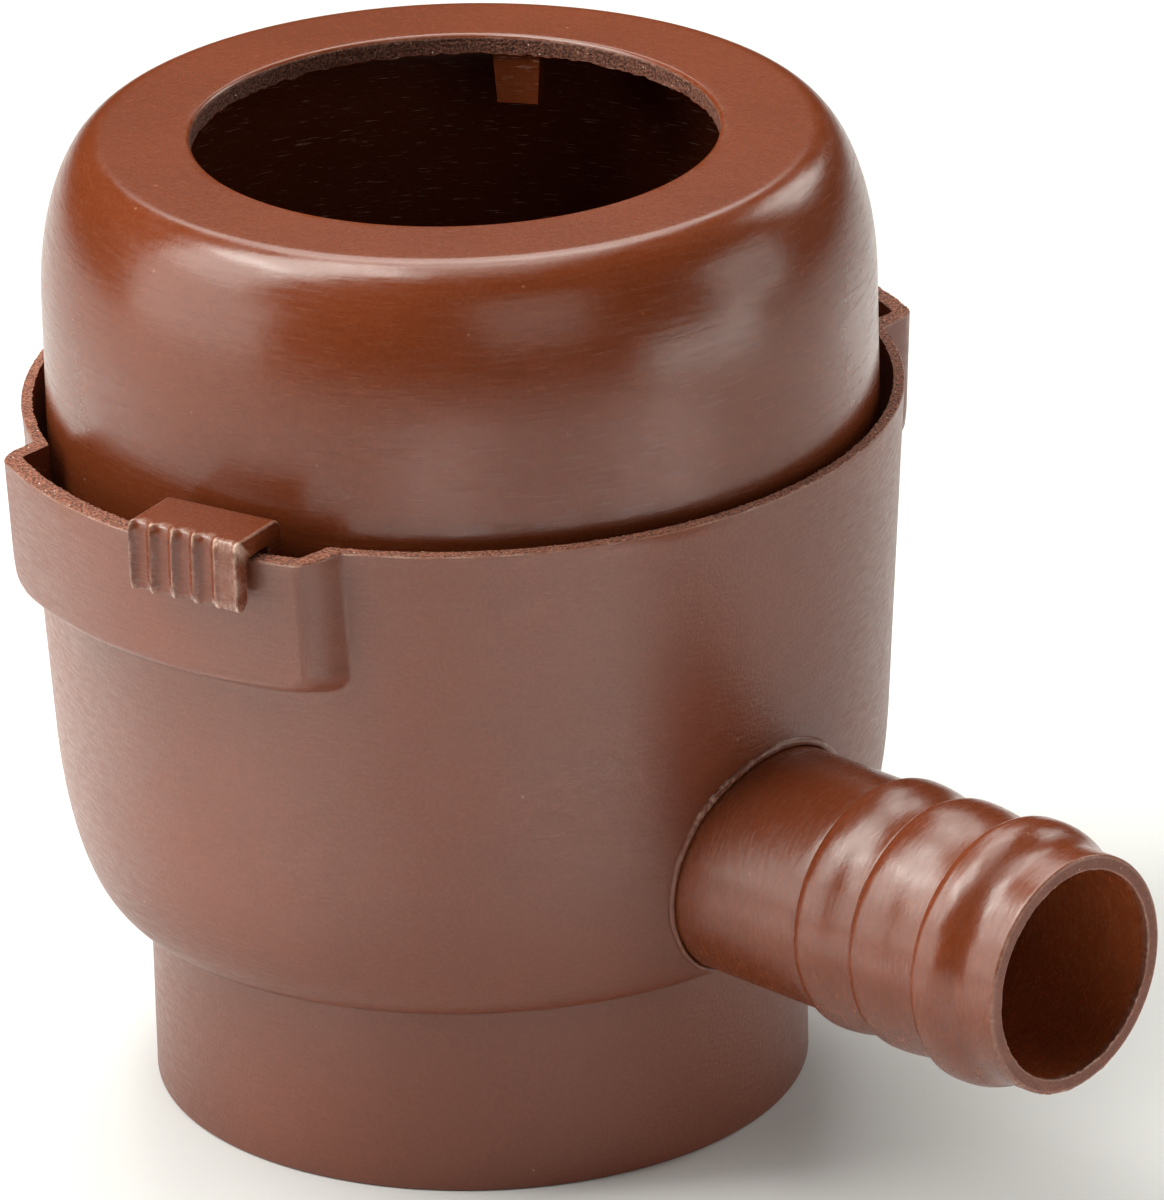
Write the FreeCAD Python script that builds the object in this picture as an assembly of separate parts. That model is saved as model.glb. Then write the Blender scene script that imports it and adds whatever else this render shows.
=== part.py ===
import FreeCAD, Part
import math
import os
from FreeCAD import Vector

# Rainwater diverter for a round downpipe, in millimetres and degrees.
# The origin is the centre of the spigot's foot, +Z is up the pipe and +X is along the hose tail.

# Spigot that goes down into the lower pipe
spigot_radius = 35.5
spigot_length = 22.4
spigot_wall = 1.4
foot_round = 0.4

# Bowl of the pot: a drafted wall that runs into an upright elliptical corner
rim_radius = 47.1
bowl_height = 56.0
pot_wall = 1.2
pot_floor = 1.5
pot_draft = 3.45
bowl_corner_reach = 6.7
bowl_corner_drop = 24.0
rim_round = 0.3

# Overflow pipe that stands on the pot's floor
overflow_bore = 20.5
overflow_wall = 1.5
overflow_height = 34.0
overflow_round = 0.5

# Hose tail, bonded into a low collar on the bowl
outlet_rise = 13.4
tail_radius = 12.85
tail_bore = 11.25
tail_reach = 40.2
tail_lip_radius = 12.9
tail_lip_length = 3.1
tail_lip_round = 0.3
ridge_lengths = (7.8, 9.0, 8.0)
ridge_radii = (13.75, 13.7, 14.4)
ridge_lands = (1.2, 1.2, 2.0)
ridge_ramp = 0.5
ridge_valley = 13.0
bond_gap = 0.1
collar_wall = 0.35
collar_height = 0.8
collar_round = 0.6

# Hood that sits inside the rim
hood_gap = 1.5
hood_depth = 10.7
hood_rise = 29.1
hood_wall = 1.8
hood_lip = 2.2
hood_shoulder_reach = 7.2
hood_shoulder_drop = 17.2
hood_foot_round = 0.4
hole_radius = 28.0
hole_round = 1.0

# Tabs that hang from the pipe hole's edge, set back from its wall
tab_count = 3
tab_top_width = 5.4
tab_foot_width = 4.6
tab_length = 5.7
tab_thickness = 1.8
tab_setback = 0.35
tab_start = 1.4

# Slide ring that turns in the pot and carries the finger grips
ring_gap = 0.35
ring_floor_gap = 0.3
ring_wall = 1.2
ring_foot_width = 2.0
seat_gap = 0.3
window_half_width = 9.1
window_round = 3.0

# Finger grips: hooks that reach up through the pockets and over the rim
grip_count = 2
grip_width = 13.4
grip_rest = 12.3
grip_travel = 17.0
leg_gap = 1.0
leg_thickness = 2.3
arm_height = 2.1
hook_gap = 0.35
hook_top = 2.35
hook_thickness = 2.15
hook_height = 7.7
hook_back_round = 1.3
hook_front_round = 0.4
hook_lead = 0.8
flute_count = 5
flute_pitch = 2.66
flute_radius = 1.6
flute_depth = 0.68

# Pockets stepped out of the rim wall, one round each grip
pocket_wall = 2.0
pocket_gap = 0.55
stop_gap = 0.5
end_slant = 3.0
pocket_face = 15.0
pocket_under = 1.4
pocket_edge_round = 1.6
pocket_lower_round = 3.0
pocket_blend = 0.4

# Places that follow from the sizes above
up = Vector(0, 0, 1)
origin = Vector(0, 0, 0)
seam_turn = 150.0
overlap = 1.0
hair = 0.001
draft_slope = math.tan(math.radians(pot_draft))
floor_z = spigot_length + pot_floor
rim_z = spigot_length + bowl_height
corner_z = spigot_length + bowl_corner_drop
outlet_z = spigot_length + outlet_rise
overflow_radius = overflow_bore + overflow_wall
hood_radius = rim_radius - pot_wall - hood_gap
hood_foot_z = rim_z - hood_depth
hood_top_z = rim_z + hood_rise
ring_foot_z = floor_z + ring_floor_gap
ring_top_z = hood_foot_z - seat_gap
arm_z = ring_top_z - arm_height
leg_inner = hood_radius + leg_gap
leg_outer = leg_inner + leg_thickness
leg_corner = math.hypot(leg_outer, grip_width / 2)
leg_half_angle = math.degrees(math.asin(grip_width / 2 / leg_corner))
pocket_radius = leg_corner + pocket_gap + pocket_wall + (rim_z - arm_z) * draft_slope
hook_inner = pocket_radius + hook_gap
hook_face = hook_inner + hook_thickness
hook_under_z = rim_z + hook_gap
hook_top_z = hook_under_z + hook_top
pocket_turn = -90.0


def line(start, end):
    return Part.LineSegment(start, end).toShape()


def outline(points):
    edges = [line(a, b) for a, b in zip(points, points[1:] + points[:1])]
    return Part.Face(Part.Wire(edges))


def turned(edges):
    # full turn about the upright axis, with the seam away from every feature
    solid = Part.Face(Part.Wire(Part.__sortEdges__(edges))).revolve(origin, up, 360)
    return solid.rotate(origin, up, seam_turn)


def around(solid, count, start):
    copies = []
    for i in range(count):
        copies.append(solid.rotated(origin, up, start + 360.0 * i / count))
    return copies


def wall_radius(z, inset):
    return rim_radius - inset - (rim_z - z) * draft_slope


def bowl_side(inset, foot_z, top_z):
    # the bowl's side, set in by the given amount: elliptical corner, then the drafted wall
    reach = bowl_corner_reach - inset
    drop = corner_z - foot_z
    lean = math.atan(draft_slope * drop / reach)
    meet_z = corner_z - drop * math.sin(lean)
    centre = Vector(wall_radius(meet_z, inset) - reach * math.cos(lean), 0, corner_z)
    foot = Vector(centre.x, 0, foot_z)
    ellipse = Part.Ellipse(foot, centre + Vector(reach, 0, 0), centre)
    bend = Part.ArcOfEllipse(ellipse, 0, math.pi / 2 - lean).toShape()
    top = Vector(wall_radius(top_z, inset), 0, top_z)
    wall = line(Vector(wall_radius(meet_z, inset), 0, meet_z), top)
    return foot, [bend, wall], top


def bowl_solid(inset, foot_z, top_z):
    foot, side, top = bowl_side(inset, foot_z, top_z)
    foot_centre = Vector(0, 0, foot_z)
    top_centre = Vector(0, 0, top_z)
    return turned([line(foot_centre, foot)] + side + [line(top, top_centre), line(top_centre, foot_centre)])


def tail_rod(radius, start, end):
    return Part.makeCylinder(radius, end - start, Vector(start, 0, outlet_z), Vector(1, 0, 0))


def pocket_solid(inset):
    # one pocket about +X, set in by the wall for its hollow: a drafted band with slanted ends
    slope = pocket_under / (pocket_radius - rim_radius)
    lift = inset * math.hypot(1, slope)
    face_z = rim_z - pocket_face
    root = rim_radius - bowl_corner_reach
    top_radius = pocket_radius - inset
    top_z = rim_z + (overlap if inset else 0.0)
    face_radius = top_radius - pocket_face * draft_slope
    under_z = face_z - inset * slope + lift
    root_z = under_z - (face_radius - root) * slope
    crown = top_radius + (top_z - rim_z) * draft_slope
    section = [Vector(root, 0, root_z), Vector(face_radius, 0, under_z), Vector(crown, 0, top_z),
               Vector(root, 0, top_z)]
    band = outline(section).revolve(origin, up, 360)
    band.rotate(origin, up, 180)
    # each end wall clears the leg's outer corner at the end of its travel
    stop = math.radians(grip_travel + leg_half_angle)
    slant = math.radians(end_slant)
    clear = stop_gap + pocket_wall - inset
    edge = Vector(leg_corner * math.cos(stop), leg_corner * math.sin(stop), 0)
    edge = edge + Vector(math.sin(slant), math.cos(slant), 0) * clear
    near = edge + Vector(-math.cos(slant), math.sin(slant), 0) * pocket_radius / 2
    far = edge + Vector(math.cos(slant), -math.sin(slant), 0) * pocket_radius / 2
    plan = [near, far, Vector(far.x, -far.y, 0), Vector(near.x, -near.y, 0)]
    sector = outline(plan).extrude(up * (top_z + overlap))
    solid = band.common(sector).Solids[0]
    solid = solid.makeFillet(pocket_lower_round - inset, under_ends(solid, root, top_z))
    face = max(solid.Faces, key=lambda f: f.CenterOfMass.x)
    rim_edges = [e for e in face.Edges if e.BoundBox.ZMin < rim_z - overlap]
    return solid.makeFillet(max(pocket_edge_round - inset, rim_round), rim_edges)


def middle(edge):
    return edge.valueAt((edge.FirstParameter + edge.LastParameter) / 2)


def under_ends(solid, root, top_z):
    # the two edges where a pocket's end walls meet its sloping underside
    ends = []
    for edge in solid.Edges:
        spot = middle(edge)
        if edge.BoundBox.ZMax < top_z - overlap and abs(spot.y) > grip_width and spot.Length > root:
            ends.append(edge)
    return ends


def touches(solid, spot):
    return solid.distToShape(Part.Vertex(spot))[0] < hair


def blended(joined, body, features, radius):
    # rounds the inside corner where features grow out of a body, below the rim
    corners = []
    for edge in joined.Edges:
        spot = middle(edge)
        if edge.BoundBox.ZMin > rim_z - overlap or not touches(body, spot):
            continue
        if any(touches(feature, spot) for feature in features) and not body.isInside(spot, hair, False):
            corners.append(edge)
    return joined.makeFillet(radius, corners)


def tube(outer, bore, foot_z, top_z):
    edges = outline([Vector(bore, 0, foot_z), Vector(outer, 0, foot_z), Vector(outer, 0, top_z),
                     Vector(bore, 0, top_z)]).Edges
    return turned(edges)


def edges_level(solid, z):
    return [e for e in solid.Edges if abs(e.BoundBox.ZMin - z) + abs(e.BoundBox.ZMax - z) < 2 * hair]


def pot_cavity():
    return bowl_solid(pot_wall, floor_z, rim_z + overlap)


def tail_seat():
    # the tail's inner end stops where the bowl's corner meets its floor
    foot, side, top = bowl_side(pot_wall, floor_z, rim_z)
    return foot.x


def build_pot():
    bowl = bowl_solid(0, spigot_length, rim_z)
    pockets = around(pocket_solid(0), grip_count, pocket_turn)
    outside = blended(bowl.fuse(pockets), bowl, pockets, pocket_blend)
    # collar that follows the bowl's surface round the hose tail
    swollen = bowl_solid(-collar_height, spigot_length - collar_height, rim_z)
    collar = tail_rod(tail_radius + bond_gap + collar_wall, tail_seat(), pocket_radius).common(swollen)
    outside = blended(outside.fuse(collar), bowl, [collar], collar_round)
    cavity = pot_cavity()
    hollows = around(pocket_solid(pocket_wall), grip_count, pocket_turn)
    inside = blended(cavity.fuse(hollows), cavity, hollows, pocket_blend)
    shell = outside.cut(inside)
    rim = max(shell.Faces, key=lambda f: f.CenterOfMass.z)
    shell = shell.makeFillet(rim_round, rim.OuterWire.Edges)
    # spigot and overflow pipe meet at the floor
    spigot = tube(spigot_radius, spigot_radius - spigot_wall, 0, spigot_length + pot_floor / 2)
    spigot = spigot.makeFillet(foot_round, edges_level(spigot, 0))
    overflow_top = floor_z + overflow_height
    overflow = tube(overflow_radius, overflow_bore, spigot_length, overflow_top)
    overflow = overflow.makeFillet(overflow_round, edges_level(overflow, overflow_top))
    pot = shell.fuse([spigot, overflow])
    way_down = Part.makeCylinder(overflow_bore, floor_z + overlap)
    tail_hole = tail_rod(tail_radius + bond_gap, tail_seat(), pocket_radius)
    return pot.cut([way_down, tail_hole]).removeSplitter()


def build_hose_tail():
    start = tail_seat() + bond_gap
    mouth = rim_radius + tail_reach
    taper_end = mouth - tail_lip_length
    ridge_x = taper_end - sum(ridge_lengths)
    edges = []
    here = Vector(start, 0, outlet_z + tail_radius)
    last = len(ridge_lengths) - 1
    for i, length in enumerate(ridge_lengths):
        # a steep ramp towards the pot, a land, then a wave that falls towards the mouth
        base = Vector(ridge_x, 0, here.z)
        crest = Vector(ridge_x + ridge_ramp, 0, outlet_z + ridge_radii[i])
        land = crest + Vector(ridge_lands[i], 0, 0)
        valley = tail_lip_radius if i == last else ridge_valley
        foot = Vector(ridge_x + length, 0, outlet_z + valley)
        if base.x > here.x:
            edges.append(line(here, base))
        edges.append(line(base, crest))
        edges.append(line(crest, land))
        edges.extend(falling_wave(land, foot))
        here = foot
        ridge_x = foot.x
    lip = Vector(mouth, 0, here.z)
    bore_end = Vector(mouth, 0, outlet_z + tail_bore)
    bore_start = Vector(start, 0, outlet_z + tail_bore)
    edges = edges + [line(here, lip), line(lip, bore_end), line(bore_end, bore_start)]
    edges.append(line(bore_start, Vector(start, 0, outlet_z + tail_radius)))
    axis_point = Vector(0, 0, outlet_z)
    solid = Part.Face(Part.Wire(edges)).revolve(axis_point, Vector(1, 0, 0), 360)
    solid.rotate(axis_point, Vector(1, 0, 0), seam_turn)
    lip_edges = [e for e in solid.Edges if e.BoundBox.XMin > mouth - tail_lip_round / 2]
    lip_edge = max(lip_edges, key=lambda e: e.Length)
    return solid.makeFillet(tail_lip_round, [lip_edge]).cut(pot_cavity())


def falling_wave(start, end):
    # two like arcs, tangent halfway: level at the start, down, and level again at the end
    run = (end.x - start.x) / 2
    fall = (start.z - end.z) / 2
    radius = (run * run + fall * fall) / (2 * fall)
    half = math.asin(run / radius) / 2
    bow = Vector(radius * math.sin(half), 0, radius * (math.cos(half) - 1))
    turn = start + Vector(run, 0, -fall)
    return [Part.Arc(start, start + bow, turn).toShape(), Part.Arc(turn, end - bow, end).toShape()]


def shoulder(reach, drop, centre):
    ellipse = Part.Ellipse(centre + Vector(0, 0, drop), centre + Vector(-reach, 0, 0), centre)
    return Part.ArcOfEllipse(ellipse, 3 * math.pi / 2, 2 * math.pi).toShape()


def build_hood():
    land = hood_radius - hood_shoulder_reach
    shoulder_z = hood_top_z - hood_shoulder_drop
    under_z = hood_top_z - hood_lip
    bore = hood_radius - hood_wall
    centre = Vector(land, 0, shoulder_z)
    edge_centre = Vector(hole_radius + hole_round, 0, hood_top_z - hole_round)
    edge_mid = edge_centre + Vector(-1, 0, 1).normalize() * hole_round
    hole_top = edge_centre + Vector(0, 0, hole_round)
    hole_side = edge_centre - Vector(hole_round, 0, 0)
    hole_foot = Vector(hole_radius, 0, under_z)
    foot_out = Vector(hood_radius, 0, hood_foot_z)
    foot_in = Vector(bore, 0, hood_foot_z)
    edges = [line(foot_out, Vector(hood_radius, 0, shoulder_z)),
             shoulder(hood_shoulder_reach, hood_shoulder_drop, centre),
             line(Vector(land, 0, hood_top_z), hole_top),
             Part.Arc(hole_top, edge_mid, hole_side).toShape(),
             line(hole_side, hole_foot),
             line(hole_foot, Vector(land, 0, under_z)),
             shoulder(hood_shoulder_reach - hood_wall, hood_shoulder_drop - hood_lip, centre),
             line(Vector(bore, 0, shoulder_z), foot_in),
             line(foot_in, foot_out)]
    hood = turned(edges)
    hood = hood.makeFillet(hood_foot_round, edges_level(hood, hood_foot_z))
    tabs = around(hole_tab(under_z), tab_count, tab_start)
    return hood.fuse(tabs).removeSplitter()


def hole_tab(under_z):
    # one tapered tab about +X, curved with the hole and rooted in the lip
    foot_z = under_z - tab_length
    root_z = under_z + hood_lip / 4
    inner = hole_radius + tab_setback
    ring = tube(inner + tab_thickness, inner, foot_z, root_z)
    half_top = tab_top_width / 2
    half_foot = tab_foot_width / 2
    plan = outline([Vector(0, -half_foot, foot_z), Vector(0, half_foot, foot_z), Vector(0, half_top, under_z),
                    Vector(0, half_top, root_z), Vector(0, -half_top, root_z), Vector(0, -half_top, under_z)])
    return ring.common(plan.extrude(Vector(hood_radius, 0, 0)))


def build_slide_ring():
    inset = pot_wall + ring_gap
    body = bowl_solid(inset, ring_foot_z, ring_top_z)
    hollow = bowl_solid(inset + ring_wall, ring_foot_z + ring_wall, ring_top_z + overlap)
    foot, side, top = bowl_side(inset, ring_foot_z, ring_top_z)
    foot_hole = Part.makeCylinder(foot.x - ring_foot_width, ring_top_z)
    grips = around(finger_grip(), grip_count, pocket_turn + grip_rest)
    return body.fuse(grips).cut([hollow, foot_hole, outlet_window()]).removeSplitter()


def outlet_window():
    # window that stands in front of the hose tail, above the ring's foot
    sill_z = ring_foot_z + 2 * ring_wall
    height = outlet_z + tail_bore - sill_z
    corner = Vector(overflow_radius, -window_half_width, sill_z)
    block = Part.makeBox(pocket_radius - overflow_radius, 2 * window_half_width, height, corner)
    along = [e for e in block.Edges if e.BoundBox.XLength > overlap]
    return block.makeFillet(window_round, along)


def edges_across(solid, x, z):
    # edges that run along Y at the given place
    found = []
    for edge in edges_level(solid, z):
        if abs(edge.BoundBox.XMin - x) + abs(edge.BoundBox.XMax - x) < 2 * hair:
            found.append(edge)
    return found


def finger_grip():
    # one hook about +X: arm out of the ring, leg up the pocket, bridge over the rim, fluted face
    root = leg_inner - leg_thickness - ring_wall
    hook_foot_z = hook_top_z - hook_height
    section = [(root, arm_z), (leg_outer, arm_z), (leg_outer, hook_under_z), (hook_inner, hook_under_z),
               (hook_inner, hook_foot_z + hook_lead), (hook_inner + hook_lead, hook_foot_z),
               (hook_face, hook_foot_z), (hook_face, hook_top_z), (leg_inner, hook_top_z),
               (leg_inner, ring_top_z), (root, ring_top_z)]
    half = grip_width / 2
    grip = outline([Vector(x, -half, z) for x, z in section]).extrude(Vector(0, grip_width, 0))
    grip = grip.makeFillet(hook_back_round, edges_across(grip, leg_inner, hook_top_z))
    front = edges_across(grip, hook_face, hook_top_z) + edges_across(grip, hook_face, hook_foot_z)
    grip = grip.makeFillet(hook_front_round, front)
    # inside the hook, the corners follow the rim's rounded edge
    inside = edges_across(grip, hook_inner, hook_under_z) + edges_across(grip, leg_outer, hook_under_z)
    grip = grip.makeFillet(rim_round + hook_gap, inside)
    flutes = []
    for i in range(flute_count):
        across = (i - (flute_count - 1) / 2) * flute_pitch
        spot = Vector(hook_face + flute_radius - flute_depth, across, hook_foot_z - overlap)
        flutes.append(Part.makeCylinder(flute_radius, hook_height + 2 * overlap, spot))
    return grip.cut(flutes)


os.makedirs("parts", exist_ok=True)
pieces = {"pot": build_pot(), "hose_tail": build_hose_tail(), "hood": build_hood(),
          "slide_ring": build_slide_ring()}
for name, solid in pieces.items():
    print(name, "valid", solid.isValid(), "solids", len(solid.Solids), "volume", round(solid.Volume, 1))
    solid.exportStep("parts/" + name + ".step")
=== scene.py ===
# rainwater diverter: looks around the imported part
# the pieces' sizes are millimetres and degrees; looks, stage and meshes are metres
import math

import bpy
import numpy as np
from mathutils import Matrix, Vector


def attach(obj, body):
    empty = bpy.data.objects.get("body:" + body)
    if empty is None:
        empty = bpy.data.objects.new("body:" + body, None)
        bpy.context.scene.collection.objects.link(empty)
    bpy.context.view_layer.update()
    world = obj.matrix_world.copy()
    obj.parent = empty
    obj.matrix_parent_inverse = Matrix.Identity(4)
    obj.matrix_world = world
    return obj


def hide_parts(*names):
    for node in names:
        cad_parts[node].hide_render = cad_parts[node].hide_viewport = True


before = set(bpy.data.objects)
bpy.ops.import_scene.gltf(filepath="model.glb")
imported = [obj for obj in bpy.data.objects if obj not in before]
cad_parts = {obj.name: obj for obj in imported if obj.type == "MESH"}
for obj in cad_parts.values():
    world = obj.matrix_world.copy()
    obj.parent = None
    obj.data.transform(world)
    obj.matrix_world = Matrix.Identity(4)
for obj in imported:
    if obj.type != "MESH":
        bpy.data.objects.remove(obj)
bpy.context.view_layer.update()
mm = 0.001
fullTurn = 2 * math.pi
print("frame loaded:", sorted(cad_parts))


# straight run of points from one place to another, without the last one
def run(start, end, count):
    part = np.arange(count)[:, None] / count
    return np.array(start) * (1 - part) + np.array(end) * part


# arc of an upright ellipse: centre plus each half-axis times the cosine or sine of the turn;
# the last point is left out
def bend(centre, halfAxes, start, end, count):
    turn = np.radians(start + (end - start) * np.arange(count) / count)
    across = centre[0] + halfAxes[0] * np.cos(turn)
    up = centre[1] + halfAxes[1] * np.sin(turn)
    return np.stack([across, up], axis=1)


# smooth lesser of two: the lesser, cut down by a parabola of the given width where the two cross
def softMin(a, b, width):
    mix = np.clip(0.5 + 0.5 * (b - a) / width, 0, 1)
    return b + (a - b) * mix - width * mix * (1 - mix)


# smooth greater of two: the smooth lesser of their opposites, turned back
def softMax(a, b, width):
    return -softMin(-a, -b, width)


# bell of the given half-width round a place
def bell(value, place, width):
    return np.exp(-((value - place) / width) ** 2)


# value noise on a sheet: random knots on a grid of cells, eased both ways, joined up round the turn
def sheetNoise(along, turn, cells, seed):
    knots = np.random.default_rng(seed).uniform(-1, 1, (cells[0] + 2, cells[1]))
    u = np.clip(along, 0, 1) * cells[0]
    v = np.mod(turn / fullTurn, 1) * cells[1]
    i = np.floor(u).astype(int)
    j = np.floor(v).astype(int) % cells[1]
    easeU = 0.5 - 0.5 * np.cos(np.pi * (u - np.floor(u)))
    easeV = 0.5 - 0.5 * np.cos(np.pi * (v - np.floor(v)))
    nextJ = (j + 1) % cells[1]
    low = knots[i, j] * (1 - easeV) + knots[i, nextJ] * easeV
    high = knots[i + 1, j] * (1 - easeV) + knots[i + 1, nextJ] * easeV
    return low * (1 - easeU) + high * easeU


# the same noise along an edge: one row of knots, joined up round the turn
def edgeNoise(turn, cells, seed):
    return sheetNoise(0 * turn, turn, (1, cells), seed)


# even angles once round, without the last one
def evenTurns(count):
    return np.arange(count) * fullTurn / count


# surface round the upright axis: radius times the cosine and the sine of the turn, then the height
def turnedGrid(radii, turn, heights):
    return np.stack([radii * np.cos(turn), radii * np.sin(turn), heights], axis=-1)


# number of the stretch that each row of a section belongs to
def stretchOf(stretches):
    return np.repeat(np.arange(len(stretches)), [len(rows) for rows in stretches])


def newObject(name, data):
    made = bpy.data.objects.new(name, data)
    bpy.context.scene.collection.objects.link(made)
    return made


# closed skin over a grid of points: columns join up round the turn, rows join up too or end in flat caps,
# and a mark that isn't given counts as nought;
# the sum of the corner triple products gives the sign of the volume, so the faces can be turned outwards
def skin(name, grid, marks, capped=False):
    rows, columns = grid.shape[:2]
    here = np.arange(rows * columns).reshape(rows, columns)
    nextRow = np.roll(here, -1, axis=0)
    nextColumn = np.roll(here, -1, axis=1)
    across = np.roll(nextRow, -1, axis=1)
    quads = np.stack([here, nextColumn, across, nextRow], axis=-1)
    quads = (quads[:-1] if capped else quads).reshape(-1, 4)
    points = grid.reshape(-1, 3) * mm
    a, b, c, d = (points[quads[:, k]] for k in range(4))
    outwards = np.einsum("ij,ij->", a, np.cross(b, c) + np.cross(c, d)) > 0
    faces = quads.tolist() + ([here[0, ::-1].tolist(), here[-1].tolist()] if capped else [])
    mesh = bpy.data.meshes.new(name)
    mesh.from_pydata(points, [], faces if outwards else [face[::-1] for face in faces])
    mesh.shade_smooth()
    for key, values in marks.items():
        attribute = mesh.attributes.new(key, "FLOAT", "POINT")
        attribute.data.foreach_set("value", values.ravel().astype(np.float32))
    return newObject(name, mesh)


# a finished piece rides on its body in place of its CAD node
def seat(piece, material, body, node, sharpAngle=38):
    piece.data.set_sharp_from_angle(angle=math.radians(sharpAngle))
    piece.data.materials.clear()
    piece.data.materials.append(material)
    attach(piece, body)
    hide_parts(node)
    print("piece", piece.name, len(piece.data.polygons), "faces")


def feed(tree, socket, value):
    # a socket takes either a link or a fixed value
    if isinstance(value, bpy.types.NodeSocket):
        tree.links.new(value, socket)
    elif socket.type == "RGBA":
        socket.default_value = (*value, 1)
    else:
        socket.default_value = value


# a new shader node with its settings and its fed sockets; gives back the node's outputs
def addNode(tree, kind, inputs, **settings):
    node = tree.nodes.new(kind)
    for key, value in settings.items():
        setattr(node, key, value)
    for key, value in inputs.items():
        feed(tree, node.inputs[key], value)
    return node.outputs


def noiseAt(tree, place, scale, detail):
    return addNode(tree, "ShaderNodeTexNoise", {"Vector": place, "Scale": scale, "Detail": detail})["Fac"]


def stretched(tree, place, scale):
    return addNode(tree, "ShaderNodeMapping", {"Vector": place, "Scale": scale})["Vector"]


def rangeOf(tree, value, low, high, outLow, outHigh):
    inputs = {"Value": value, "From Min": low, "From Max": high, "To Min": outLow, "To Max": outHigh}
    return addNode(tree, "ShaderNodeMapRange", inputs)["Result"]


def mixOf(tree, kind, factor, first, second):
    inputs = {"Factor": factor, "A": first, "B": second}
    return addNode(tree, "ShaderNodeMix", inputs, data_type=kind)["Result"]


def mixTone(tree, factor, first, second):
    return mixOf(tree, "RGBA", factor, first, second)


def mixNumber(tree, factor, first, second):
    return mixOf(tree, "FLOAT", factor, first, second)


def times(tree, first, second):
    return addNode(tree, "ShaderNodeMath", {0: first, 1: second}, operation="MULTIPLY")["Value"]


def markOf(tree, name):
    return addNode(tree, "ShaderNodeAttribute", {}, attribute_name=name)["Fac"]


def bumpOn(tree, height, strength, depth, before):
    inputs = {"Height": height, "Strength": strength, "Distance": depth}
    if before:
        inputs["Normal"] = before
    return addNode(tree, "ShaderNodeBump", inputs)["Normal"]


# sparse specks: cells of a scattered pattern, a dot at the middle of those whose random number is high
def specksOf(tree, place, scale, radius, share):
    cells = addNode(tree, "ShaderNodeTexVoronoi", {"Vector": place, "Scale": scale})
    dot = rangeOf(tree, cells["Distance"], radius, radius * 0.5, 0, 1)
    chance = addNode(tree, "ShaderNodeSeparateColor", {"Color": cells["Color"]})["Red"]
    return times(tree, dot, rangeOf(tree, chance, 1 - share, 1 - share * 0.8, 0, 1))


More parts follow.
